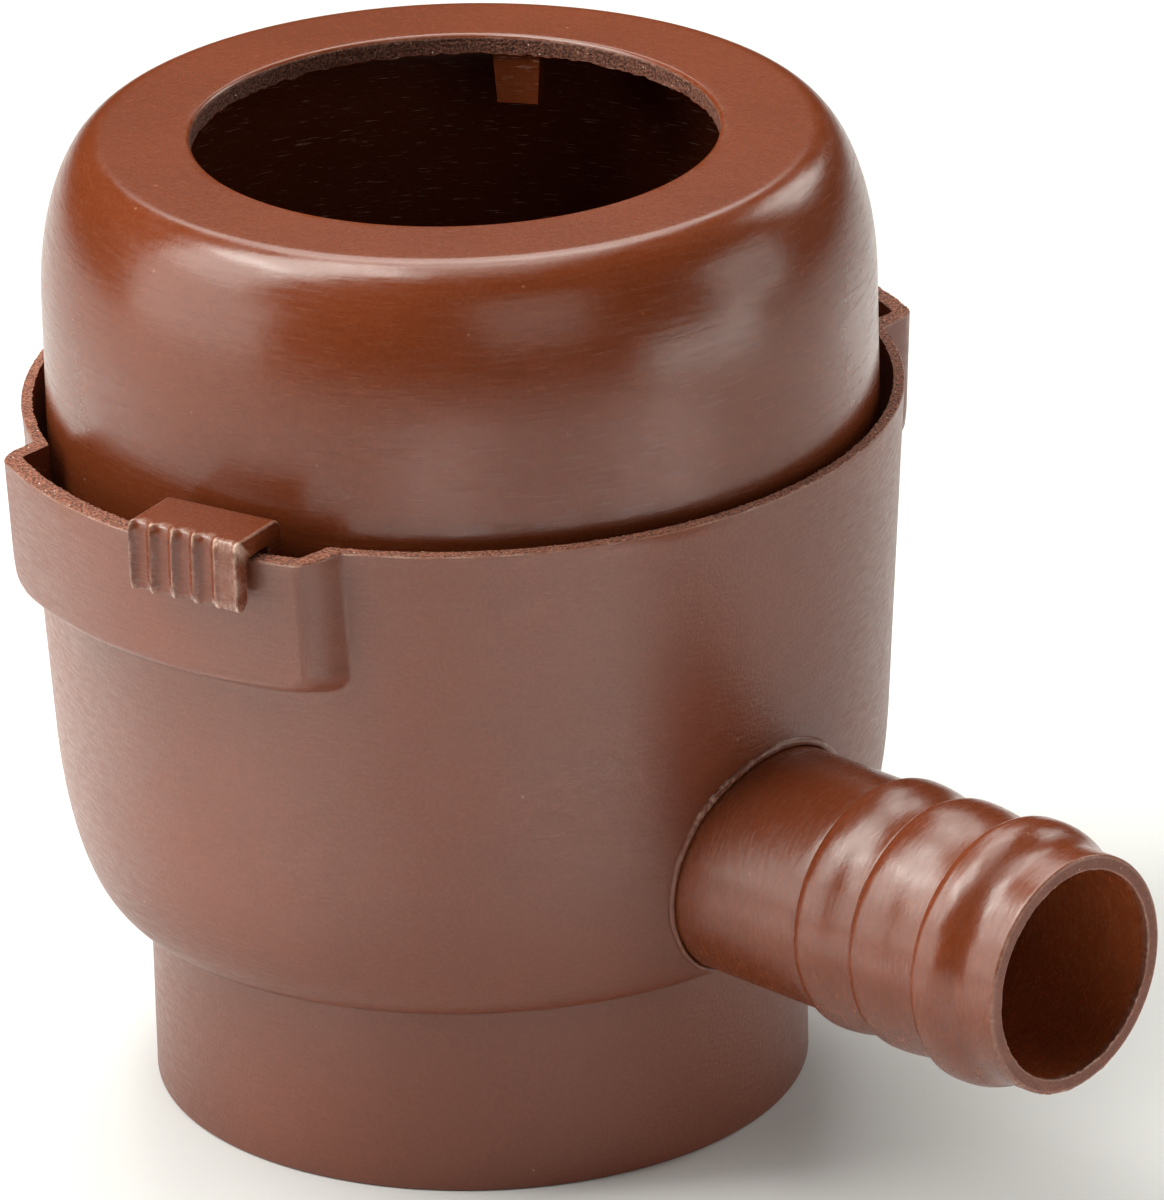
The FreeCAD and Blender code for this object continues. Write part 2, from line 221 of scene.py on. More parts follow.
# brown moulded plastic: browns in slow clouds, peel, grain and drawn lines as bump, pale specks and inside
# dashes as painted glints, insides painted darker as shade (the tail's bore painted lighter as light), pale
# edges by the wear mark, partly rubbed wear and partly painted highlight, and a torn grainy face by the cut
# mark
def brownPlastic(name, look):
    material = bpy.data.materials.new(name)
    material.use_nodes = True
    tree = material.node_tree
    shader = tree.nodes["Principled BSDF"]
    place = addNode(tree, "ShaderNodeTexCoord", {})["Object"]
    wearAndHighlight, cut, inner, level = (markOf(tree, key) for key in ("wearAndHighlight", "cut", "inner", "level"))
    cloud = noiseAt(tree, place, look["cloudScale"], 5)
    lines = noiseAt(tree, stretched(tree, place, look["lineStretch"]), 1, 3)
    lines = mixNumber(tree, level, lines, look["lineMiddle"])
    peel = noiseAt(tree, place, look["peelScale"], 2)
    grain = noiseAt(tree, place, look["grainScale"], 2)
    tear = noiseAt(tree, stretched(tree, place, look["tearStretch"]), 1, 4)
    glintDashNoise = noiseAt(tree, stretched(tree, place, look["glintDashStretch"]), 1, 2)
    sparkles = specksOf(tree, place, look["sparkleScale"], look["sparkleSize"], look["sparkleShare"])
    flecks = specksOf(tree, place, look["fleckScale"], look["fleckSize"], look["fleckShare"])
    # colour, one layer over the other
    tone = mixTone(tree, rangeOf(tree, cloud, *look["cloudSpan"], 0, 1), look["dark"], look["light"])
    # painted highlights: pale specks mixed into the colour stand in for tiny glints on the surface
    tone = mixTone(tree, times(tree, sparkles, look["sparkleTint"]), tone, look["sparkleTone"])
    mottle = rangeOf(tree, grain, *look["grainSpan"], 0, look["mottle"])
    tone = mixTone(tree, mottle, tone, look["mottleTone"])
    # painted shade and light on inside surfaces: most pieces are painted darker inside as shade, the tail's
    # bore is painted lighter as light reaching into it
    tone = mixTone(tree, times(tree, inner, look["paintedInsideShare"]), tone, look["paintedInsideTone"])
    # painted highlights: pale dashes on inside surfaces stand in for glints on fine drawn ridges; in the
    # tail's bore they paint lit orange grains
    glintDashes = rangeOf(tree, glintDashNoise, look["glintDashFrom"], look["glintDashFrom"] + look["glintDashSpan"], 0, look["glintDash"])
    tone = mixTone(tree, times(tree, inner, glintDashes), tone, look["glintDashTone"])
    torn = mixTone(tree, rangeOf(tree, tear, *look["tearSpan"], 0, 1), look["cutDark"], look["cutLight"])
    torn = mixTone(tree, flecks, torn, look["fleckTone"])
    tone = mixTone(tree, cut, tone, torn)
    # pale edges and ridges: the wear mark paints rubbed wear and, on the pot's rim edge, the pocket feet, the
    # root bead and the grip, painted highlights too
    rubbedAndHighlight = times(tree, wearAndHighlight, rangeOf(tree, tear, *look["rubAndHighlightSpan"], look["rubAndHighlightLeast"], 1))
    tone = mixTone(tree, rubbedAndHighlight, tone, look["rubbedAndHighlight"])
    feed(tree, shader.inputs["Base Color"], tone)
    shader.inputs["Specular IOR Level"].default_value = look["shine"]
    rough = rangeOf(tree, lines, *look["roughSpan"], *look["rough"])
    rough = mixNumber(tree, cut, rough, look["tornRough"])
    feed(tree, shader.inputs["Roughness"], mixNumber(tree, rubbedAndHighlight, rough, look["rubbedAndHighlightRough"]))
    normal = bumpOn(tree, peel, 1.0, look["peelDepth"], None)
    normal = bumpOn(tree, grain, 1.0, look["grainDepth"], normal)
    normal = bumpOn(tree, lines, look["lineStrength"], look["lineDepth"], normal)
    normal = bumpOn(tree, tear, cut, look["tearDepth"], normal)
    feed(tree, shader.inputs["Normal"], normal)
    return material


# scales and stretches are noise cells in a metre, depths are metres, spans are parts of a noise's range
plasticLook = {"dark": (0.114, 0.0222, 0.0060), "light": (0.136, 0.0272, 0.0079),
               "cloudScale": 45, "cloudSpan": (0.35, 0.65),
               "mottle": 0.34, "mottleTone": (0.20, 0.050, 0.018), "grainSpan": (0.35, 0.70),
               "lineStretch": (620, 620, 2500), "lineStrength": 0.8, "lineDepth": 0.000016, "lineMiddle": 0.5,
               "peelScale": 620, "peelDepth": 0.000016, "grainScale": 2600, "grainDepth": 0.000014,
               "tearStretch": (3600, 3600, 3600), "tearDepth": 0.00020, "tearSpan": (0.40, 0.62),
               # the dash keys paint glints inside as pale dashes
               "glintDash": 0.7, "glintDashFrom": 0.645, "glintDashSpan": 0.08, "glintDashStretch": (420, 420, 6500),
               # the inside tone is painted shade: inside surfaces are painted darker
               "glintDashTone": (0.55, 0.40, 0.32), "paintedInsideTone": (0.10, 0.020, 0.006), "paintedInsideShare": 0.5,
               # the speck tone paints tiny highlights into the colour
               "sparkleScale": 420, "sparkleSize": 0.09, "sparkleShare": 0.08, "sparkleTint": 0.5,
               "sparkleTone": (0.36, 0.20, 0.13),
               "cutDark": (0.055, 0.0115, 0.0045), "cutLight": (0.330, 0.112, 0.060), "tornRough": 0.85,
               "fleckScale": 1500, "fleckSize": 0.16, "fleckShare": 0.35, "fleckTone": (0.85, 0.66, 0.56),
               # the rubbed tone paints both worn edges and edge highlights
               "rubbedAndHighlight": (0.46, 0.28, 0.21), "rubAndHighlightSpan": (0.30, 0.55), "rubAndHighlightLeast": 0.25, "rubbedAndHighlightRough": 0.5,
               "rough": (0.25, 0.33), "roughSpan": (0.3, 0.7), "shine": 0.5}
hoodLook = {**plasticLook, "cutDark": (0.056, 0.0135, 0.0060), "cutLight": (0.235, 0.085, 0.050),
            "fleckShare": 0.4, "lineStretch": (240, 240, 2500), "lineDepth": 0.000022,
            "grainDepth": 0.000009, "rough": (0.19, 0.30)}
potLook = {**plasticLook, "shine": 0.62, "rough": (0.32, 0.46), "grainDepth": 0.000030,
           "lineStretch": (520, 520, 2700), "lineDepth": 0.000060}
tailLook = {**plasticLook, "lineStretch": (2300, 480, 480), "lineDepth": 0.000018, "rough": (0.21, 0.32),
            # in the tail's bore the dashes are painted lit grains, orange and sandy
            "peelScale": 430, "peelDepth": 0.000026, "glintDash": 0.5, "glintDashFrom": 0.58,
            "glintDashStretch": (3600, 3600, 3600), "glintDashTone": (0.48, 0.17, 0.06),
            # in the tail the inside tone is painted light: the bore is painted lighter than the outside
            "paintedInsideTone": (0.25, 0.052, 0.014), "paintedInsideShare": 0.85,
            "cutDark": (0.070, 0.0140, 0.0050), "cutLight": (0.170, 0.048, 0.024), "fleckShare": 0.03}
# the grip's paler rubbed tone paints both worn ridges and their highlights
gripLook = {**plasticLook, "rough": (0.20, 0.32), "grainDepth": 0.000020, "rubbedAndHighlight": (0.62, 0.42, 0.33)}


# pot: spigot, bowl with an elliptical corner and a drafted wall, two pockets, floor and overflow pipe
potForm = {"spigot": 35.5, "spigotWall": 1.4, "under": 22.4, "footRound": 0.4, "rim": 47.1, "rimHeight": 78.4,
           "wall": 1.2, "floor": 23.9, "draft": 3.45, "cornerReach": 6.7, "cornerHeight": 46.4,
           # the rim wear pair places a pale band on the rim's outer rounded edge, partly chipped wear and
           # partly painted highlight
           "rimRound": 0.3, "rimDrop": 0.1, "rimTear": 0.05, "rimEdgeWearAndHighlight": (0.2, 0.12), "insideFoot": 42.0,
           "pipeBore": 20.5, "pipe": 22.0, "pipeTop": 57.9, "pipeRound": 0.5, "sway": 0.02, "swayFrom": 23.4}
# a shrink is how fast a soft corner narrows with the inset; close gives the heights and step of close rows
pocketForm = {"radius": 51.51, "wall": 2.0, "faceFoot": 63.4, "fall": 1.4, "endPlane": 25.11, "endSlant": 3.0,
              "leastSlant": 5, "edgeWidth": 2.8, "edgeShrink": 1.3, "edgeLeast": 0.2, "lowerWidth": 9.0,
              "lowerShrink": 4.3, "lowerLeast": 0.3, "blend": 0.4, "turnStep": 2.0, "zone": (24.2, 30.4),
              "zoneSteps": 56, "closeOut": (60.4, 65.4, 0.16), "closeIn": (67.6, 62.4, -0.2),
              # the line keys place a painted highlight along the foot of each pocket
              "lineOff": 0.42, "lineWidth": 0.17, "lineHeight": 62.0, "lineReach": 1.2, "footHighlight": 0.45}
draftSlope = math.tan(math.radians(potForm["draft"]))


# bowl side by height: an ellipse up to where it meets the drafted wall's slope, then the straight wall
def bowlSide(inset, footHeight):
    reach = potForm["cornerReach"] - inset
    drop = potForm["cornerHeight"] - footHeight
    lean = math.atan(draftSlope * drop / reach)
    meet = potForm["cornerHeight"] - drop * math.sin(lean)
    centre = wallRadius(meet, inset) - reach * math.cos(lean)
    return reach, drop, lean, meet, centre


def wallRadius(height, inset):
    return potForm["rim"] - inset - (potForm["rimHeight"] - height) * draftSlope


def bowlRadius(height, inset, footHeight):
    reach, drop, lean, meet, centre = bowlSide(inset, footHeight)
    lift = np.clip((potForm["cornerHeight"] - height) / drop, 0, 1)
    corner = centre + reach * np.sqrt(1 - lift ** 2)
    return np.where(height < meet, corner, wallRadius(height, inset))


# pocket's reach: the soft lesser of its drafted face, its end planes and its sloping underside
def pocketReach(height, turn, inset):
    form = pocketForm
    slope = form["fall"] / (form["radius"] - potForm["rim"])
    face = form["radius"] - inset - (potForm["rimHeight"] - height) * draftSlope
    faceFoot = form["radius"] - inset - (potForm["rimHeight"] - form["faceFoot"]) * draftSlope
    underHeight = form["faceFoot"] + inset * (math.hypot(1, slope) - slope)
    under = faceFoot + (height - underHeight) / slope
    off = np.abs(np.mod(np.degrees(turn), 180) - 90)
    slant = np.radians(np.maximum(off + form["endSlant"], form["leastSlant"]))
    end = (form["endPlane"] - inset) / np.sin(slant)
    lowerWidth = max(form["lowerWidth"] - form["lowerShrink"] * inset, form["lowerLeast"])
    edgeWidth = max(form["edgeWidth"] - form["edgeShrink"] * inset, form["edgeLeast"])
    return softMin(face, softMin(end, under, lowerWidth), edgeWidth)


# side of the pot: the soft greater of the bowl's radius and the pocket's reach
def potSide(height, turn, inside):
    inset = potForm["wall"] if inside else 0
    pocketInset = pocketForm["wall"] if inside else 0
    footHeight = potForm["floor"] if inside else potForm["under"]
    bowl = bowlRadius(height, inset, footHeight)
    return softMax(bowl, pocketReach(height, turn, pocketInset), pocketForm["blend"])


def potTurns():
    # wide steps round the bowl, fine steps across the four pocket ends
    zoneFrom, zoneTo = pocketForm["zone"]
    coarse = np.arange(0, 360, pocketForm["turnStep"])
    fine = np.linspace(zoneFrom, zoneTo, pocketForm["zoneSteps"])
    ends = np.concatenate([centre + side * fine for centre in (90, 270) for side in (-1, 1)])
    off = np.abs(np.mod(coarse, 180) - 90)
    inZone = np.abs(off - (zoneFrom + zoneTo) / 2) < (zoneTo - zoneFrom) / 2
    return np.radians(np.sort(np.concatenate([coarse[~inZone], np.mod(ends, 360)])))


# rim of the pot: a rounded outer edge, then a torn top face across to the inner edge
def potRim(turn):
    rimZ, edge = potForm["rimHeight"], potForm["rimRound"]
    outer = potSide(rimZ - edge, turn, False)
    inner = potSide(rimZ, turn, True)
    arc = np.radians(np.linspace(15, 90, 5))[:, None]
    across = np.linspace(0, 1, 8)[1:, None]
    radii = np.concatenate([outer - edge * (1 - np.cos(arc)), (outer - edge) * (1 - across) + inner * across])
    heights = np.concatenate([rimZ - edge * (1 - np.sin(arc)), rimZ * np.ones_like(across)])
    order = np.linspace(0, 1, len(radii))[:, None]
    tear = 0.5 + 0.5 * sheetNoise(order, turn, (9, 400), 11)
    return radii, heights - potForm["rimTear"] * tear


def buildPot():
    form = potForm
    turn = potTurns()
    flat = np.ones_like(turn)
    rimZ, under, floor = form["rimHeight"], form["under"], form["floor"]
    corner, foot, spigotOut = form["cornerHeight"], form["footRound"], form["spigot"]
    spigotIn = spigotOut - form["spigotWall"]
    reach, drop, lean, meet, centre = bowlSide(0, under)
    low = np.concatenate([bend((spigotIn + foot, foot), (foot, foot), 180, 270, 4),
                          bend((spigotOut - foot, foot), (foot, foot), 270, 360, 5),
                          run((spigotOut, foot), (spigotOut, under), 8),
                          run((spigotOut, under), (centre, under), 3),
                          bend((centre, corner), (reach, drop), 270, 360 - math.degrees(lean), 26)])
    # side rows by height, packed close where the pocket's underside stands out
    closeFrom, closeTo, closeStep = pocketForm["closeOut"]
    outHeights = np.concatenate([np.linspace(meet, closeFrom, 8, endpoint=False),
                                 np.arange(closeFrom, closeTo, closeStep),
                                 np.linspace(closeTo, rimZ - form["rimRound"], 9)])[:, None]
    closeFrom, closeTo, closeStep = pocketForm["closeIn"]
    inHeights = np.concatenate([np.linspace(rimZ - form["rimDrop"], closeFrom, 8, endpoint=False),
                                np.arange(closeFrom, closeTo, closeStep),
                                np.linspace(closeTo, form["insideFoot"], 8)])[:, None]
    outside = potSide(outHeights, turn, False)
    inside = potSide(inHeights, turn, True)
    rimRadii, rimHeights = potRim(turn)
    reach, drop, lean, meet, centre = bowlSide(form["wall"], floor)
    bore, pipe, top, edge = form["pipeBore"], form["pipe"], form["pipeTop"], form["pipeRound"]
    rest = np.concatenate([bend((centre, corner), (reach, drop), -math.degrees(lean), -90, 14),
                           run((centre, floor), (pipe, floor), 6),
                           run((pipe, floor), (pipe, top - edge), 6),
                           bend((pipe - edge, top - edge), (edge, edge), 0, 90, 4),
                           bend((bore + edge, top - edge), (edge, edge), 90, 180, 4),
                           run((bore, top - edge), (bore, under), 8),
                           run((bore, under), (spigotIn, under), 4),
                           run((spigotIn, under), (spigotIn, foot), 6)])
    radii = np.concatenate([low[:, :1] * flat, outside, rimRadii, inside, rest[:, :1] * flat])
    heights = np.concatenate([low[:, 1:] * flat, outHeights * flat, rimHeights, inHeights * flat,
                              rest[:, 1:] * flat])
    # stretches: 0 low, 1 outside, 2 rim, 3 inside, 4 floor, pipe and spigot's inside
    kinds = stretchOf((low, outside, rimRadii, inside, rest))[:, None]
    # the outer wall sways a little, always inwards
    sway = sheetNoise(heights / rimZ, turn, (6, 18), 12) - 1
    radii = radii + form["sway"] * sway * (kinds < 2) * (heights > form["swayFrom"])
    rimRow = np.arange(len(radii))[:, None] - len(low) - len(outside)
    cut = (kinds == 2) * np.clip(rimRow - 2, 0, 1) * flat
    # inside surfaces get the inner mark, which the material paints darker as shade
    inner = (kinds > 2) * flat
    chips = np.clip(sheetNoise(heights / rimZ, turn, (60, 300), 13) * 1.6, 0, 1)
    # rim's outer rounded edge: a pale band, partly chipped wear and partly painted highlight
    wearDrop, wearWidth = form["rimEdgeWearAndHighlight"]
    wearAndHighlight = np.where(kinds == 2, bell(heights, rimZ - wearDrop, wearWidth), 0) * (0.25 + 0.5 * chips)
    # painted highlight: a pale line along the rounded foot of each pocket, broken up by the chips
    highlightLineRadius = bowlRadius(heights, 0, under) + pocketForm["lineOff"]
    highlightLine = bell(radii, highlightLineRadius, pocketForm["lineWidth"])
    highlightLine = highlightLine * bell(heights, pocketForm["lineHeight"], pocketForm["lineReach"])
    wearAndHighlight = wearAndHighlight + pocketForm["footHighlight"] * highlightLine * (kinds == 1) * chips
    return skin("potShell", turnedGrid(radii, turn, heights), {"wearAndHighlight": wearAndHighlight, "cut": cut, "inner": inner})


# hose tail: an outline of ridges turned about the tube's axis, with its inner end on the bowl's inside
tailForm = {"height": 35.8, "radius": 12.85, "bore": 11.25, "mouth": 87.3, "lip": 12.9, "lipLength": 3.1,
            "lipRound": 0.3, "lengths": (7.8, 9.0, 8.0), "crests": (13.75, 13.7, 14.4),
            "lands": (1.2, 1.2, 2.0), "landCut": 1.0, "rampStart": 0.32, "ramp": 1.5, "valley": 13.0,
            "gap": 0.1, "columns": 330, "soften": 0.03, "softStep": 0.02, "softRows": 20, "fineEnd": 5,
            "closeReach": 1.7, "closeSteps": 20, "closePower": 1.7, "openStep": 0.36,
            "fore": (0.3, 0.12, 0.03), "hair": 0.01, "lipStep": 0.1, "noiseFrom": 50, "noiseSpan": 40,
            "chip": 0.07, "chipPlace": 0.25, "chipWidth": 0.22,
            "sway": 0.03, "hammer": 0.009, "groove": 0.10, "grooveBack": 0.03, "grooveWidth": 0.09,
            "wobble": 0.05, "ragged": 0.10, "faceTear": 0.03, "innerRound": 0.25, "innerTear": 0.28,
            "tornSide": (5.3, 0.9), "boreCrowd": 1.3, "boreSway": 0.02, "fleckFrom": 38, "fleckSpan": 50,
            "crestWear": 1.5, "crestPlace": 0.08, "crestWidth": 0.09, "lipWear": 0.35, "innerWear": 0.6,
            "faceCut": 0.6}


def ridgeStarts():
    form = tailForm
    first = form["mouth"] - form["lipLength"] - sum(form["lengths"]) + form["rampStart"]
    return first + np.cumsum((0,) + form["lengths"][:-1])


# outside radius along the tail: each ridge rises by a quarter ellipse, stays level for a while
# and falls by two parabolas
def ridgeLine(x):
    form = tailForm
    radius = np.full_like(x, form["radius"])
    before = form["radius"]
    afters = (form["valley"], form["valley"], form["lip"])
    ridges = zip(ridgeStarts(), form["lengths"], form["crests"], form["lands"], afters)
    for start, length, crest, land, after in ridges:
        climb = np.sqrt(1 - (1 - np.clip((x - start) / form["ramp"], 0, 1)) ** 2)
        level = start + form["ramp"] + land - form["landCut"]
        down = np.clip((x - level) / (start + length - form["rampStart"] - level), 0, 1)
        fall = np.where(down < 0.5, 2 * down ** 2, 1 - 2 * (1 - down) ** 2)
        radius = np.where(x >= start, before + (crest - before) * climb - (crest - after) * fall, radius)
        before = after
    return radius


# inner end of the tail: the bowl's inside round the upright axis, but never further in than its seat
def tailRoot(radius, turn):
    across = radius * np.cos(turn)
    height = tailForm["height"] + radius * np.sin(turn)
    bowl = bowlRadius(np.maximum(height, potForm["floor"]), potForm["wall"], potForm["floor"])
    seatPlace = bowlSide(potForm["wall"], potForm["floor"])[4] + tailForm["gap"]
    return np.maximum(np.sqrt(bowl ** 2 - across ** 2), seatPlace)


# sum of bells of one width, each a little way from a ridge's start
def ridgeBells(x, offset, width):
    return sum(bell(x, start + offset, width) for start in ridgeStarts())


# outside of the tail: the ridge line softened by a bell, at rows packed close where a ridge starts;
# crests are chipped here and there, a fine groove marks each start, and the wall sways a little
def tailOutside(turn):
    form = tailForm
    starts = ridgeStarts()
    step, rows = form["softStep"], form["softRows"]
    fine = np.arange(form["noiseFrom"], form["mouth"] + form["fineEnd"], step)
    kernel = bell(np.arange(-rows, rows + 1) * step, 0, form["soften"] * math.sqrt(2))
    soft = np.convolve(np.pad(ridgeLine(fine), rows, "edge"), kernel / kernel.sum(), "valid")
    reach, hair = form["closeReach"], form["hair"]
    close = reach * np.linspace(0, 1, form["closeSteps"], endpoint=False) ** form["closePower"]
    near = [start + close for start in starts]
    far = [np.arange(start + reach, start + length, form["openStep"])
           for start, length in zip(starts, form["lengths"])]
    fore = [start - np.array(form["fore"]) for start in starts]
    lipFrom = starts[-1] + form["lengths"][-1] + form["lipStep"]
    x = np.concatenate(near + far + [np.linspace(lipFrom, form["mouth"] - form["lipRound"], 8)])
    clear = [(x < start - max(form["fore"]) - hair) | (x > start - hair) for start in starts]
    x = np.sort(np.concatenate([x[np.all(clear, axis=0)]] + fore))
    radius = np.interp(x, fine, soft)[:, None] * np.ones_like(turn)
    x = x[:, None]
    along = (x - form["noiseFrom"]) / form["noiseSpan"]
    chips = np.clip(sheetNoise(along, turn, (22, 110), 21) * 2.2 - 1.0, 0, 1)
    crestLine = ridgeBells(x, form["chipPlace"], form["chipWidth"])
    radius = radius - form["chip"] * crestLine * chips
    radius = radius + form["sway"] * sheetNoise(along, turn, (9, 13), 22)
    radius = radius + form["hammer"] * sheetNoise(along, turn, (34, 44), 29)
    radius = radius - form["groove"] * ridgeBells(x, -form["grooveBack"], form["grooveWidth"])
    return x + form["wobble"] * edgeNoise(turn, 24, 23) * crestLine, radius


# mouth of the tail: a quarter-round ragged lip, a flat face, then a quarter-round torn inner edge
def tailMouth(turn, lipRadius):
    form = tailForm
    flat = np.ones_like(turn)
    mouth, edge, inner = form["mouth"], form["lipRound"], form["innerRound"]
    arc = np.radians(np.linspace(0, 90, 7))[1:, None]
    ragged = np.clip(edgeNoise(turn, 170, 24), -0.3, 1) * np.clip(0.35 + edgeNoise(turn, 9, 25), 0, 1)
    lipX = mouth - edge * (1 - np.sin(arc)) * flat
    lip = lipRadius - edge * (1 - np.cos(arc)) + form["ragged"] * ragged * np.sin(2 * arc)
    face = np.linspace(form["lip"] - edge, form["bore"] + inner, 7)[1:, None] * flat
    order = np.linspace(0, 1, len(face))[:, None]
    faceX = mouth - form["faceTear"] * np.abs(sheetNoise(order, turn, (5, 90), 26))
    innerArc = np.radians(np.linspace(0, 90, 5))[1:, None]
    innerX = mouth - inner * (1 - np.cos(innerArc)) * flat
    torn = np.clip(edgeNoise(turn, 130, 30), 0, 1) * (0.35 + 0.65 * bell(turn, *form["tornSide"]))
    innerRadius = form["bore"] + inner * (1 - np.sin(innerArc))
    innerRadius = innerRadius - form["innerTear"] * torn * np.sin(2 * innerArc)
    return (lipX, faceX, innerX), (lip, face, innerRadius)


def buildTail():
    form = tailForm
    turn = evenTurns(form["columns"])
    flat = np.ones_like(turn)
    x, radius = tailOutside(turn)
    mouthX, mouthRadii = tailMouth(turn, radius[-1:])
    # root: from the inner end up to the first ridge
    part = np.linspace(0, 1, 14, endpoint=False)[:, None]
    rootEnd = ridgeStarts()[0] - form["rampStart"]
    rootX = tailRoot(form["radius"] * flat, turn) * (1 - part) + rootEnd * part
    rootRadius = form["radius"] * np.ones_like(rootX)
    back = np.linspace(0, 1, 26)[1:, None] ** form["boreCrowd"]
    boreX = (form["mouth"] - form["innerRound"]) * (1 - back) + tailRoot(form["bore"] * flat, turn) * back
    boreRadius = form["bore"] + form["boreSway"] * sheetNoise(back, turn, (14, 20), 27)
    endRadius = np.linspace(form["bore"], form["radius"], 4, endpoint=False)[1:, None] * flat
    # stretches: 0 root, 1 ridges, 2 lip, 3 face, 4 inner edge, 5 bore, 6 inner end
    stretches = [rootX, x, *mouthX, boreX, tailRoot(endRadius, turn)]
    along = np.concatenate(stretches)
    radii = np.concatenate([rootRadius, radius, *mouthRadii, boreRadius, endRadius])
    grid = np.stack([along, radii * np.cos(turn), form["height"] + radii * np.sin(turn)], axis=-1)
    kinds = stretchOf(stretches)[:, None]
    order = (along - form["fleckFrom"]) / form["fleckSpan"]
    flecks = np.clip(sheetNoise(order, turn, (60, 240), 28) * 2 - 0.5, 0, 1)
    crestWear = form["crestWear"] * ridgeBells(along, form["crestPlace"], form["crestWidth"]) * (kinds == 1)
    mouthWear = (kinds == 2) * form["lipWear"] + (kinds == 4) * form["innerWear"]
    wearAndHighlight = np.clip(crestWear * (0.12 + 0.8 * flecks) + mouthWear * (0.4 + 0.6 * flecks), 0, 1)
    # the bore gets the inner mark, which the tail's material paints lighter as painted light
    inner = (kinds == 5) * flat
    cut = (kinds == 3) * form["faceCut"] * flat
    return skin("ridgedTail", grid, {"wearAndHighlight": wearAndHighlight, "cut": cut, "inner": inner})


# hood: straight side, elliptical shoulder, flat land and a round hole with three tapered tabs under its lip
hoodForm = {"radius": 44.4, "foot": 67.7, "top": 107.5, "wall": 1.8, "lip": 2.2, "reach": 7.2, "drop": 17.2,
            "footRound": 0.4, "hole": 28.0, "holeRound": 0.55, "columns": 480, "firstTurn": 0.0031,
            "sway": 0.03, "swayTop": 0.2, "holeTear": 0.12, "lowTear": 0.16, "lowBand": 0.25,
            "tabs": 3, "tabStart": 1.4, "tabTop": 5.4, "tabFoot": 4.6, "tabLength": 5.7, "tabThick": 1.8,
            "tabBack": 0.35, "tabFore": 0.3, "tabPast": 0.1, "hair": 0.02, "underFrom": 0.5, "holeWear": 0.5,
            "wearDrop": 0.45, "wearWidth": 0.25, "cutDrop": 0.25, "cutFade": 0.3, "levelPast": 0.5}


def tabCentres():
    return np.radians(hoodForm["tabStart"] + 360 / hoodForm["tabs"] * np.arange(hoodForm["tabs"]))


# columns of the hood: even steps, and more at each tab's slanted sides
def hoodTurns(tabMiddle):
    form = hoodForm
    halfTop, halfFoot = form["tabTop"] / 2, form["tabFoot"] / 2
    steps = np.concatenate([[halfFoot - form["tabFore"]], np.linspace(halfFoot, halfTop, 5),
                            [halfTop + form["tabPast"]]])
    angles = np.arcsin(np.concatenate([-steps, steps]) / tabMiddle)
    tabTurns = (tabCentres()[:, None] + angles).ravel()
    turn = np.concatenate([evenTurns(form["columns"]) + form["firstTurn"], tabTurns])
    return np.sort(np.mod(turn, fullTurn))


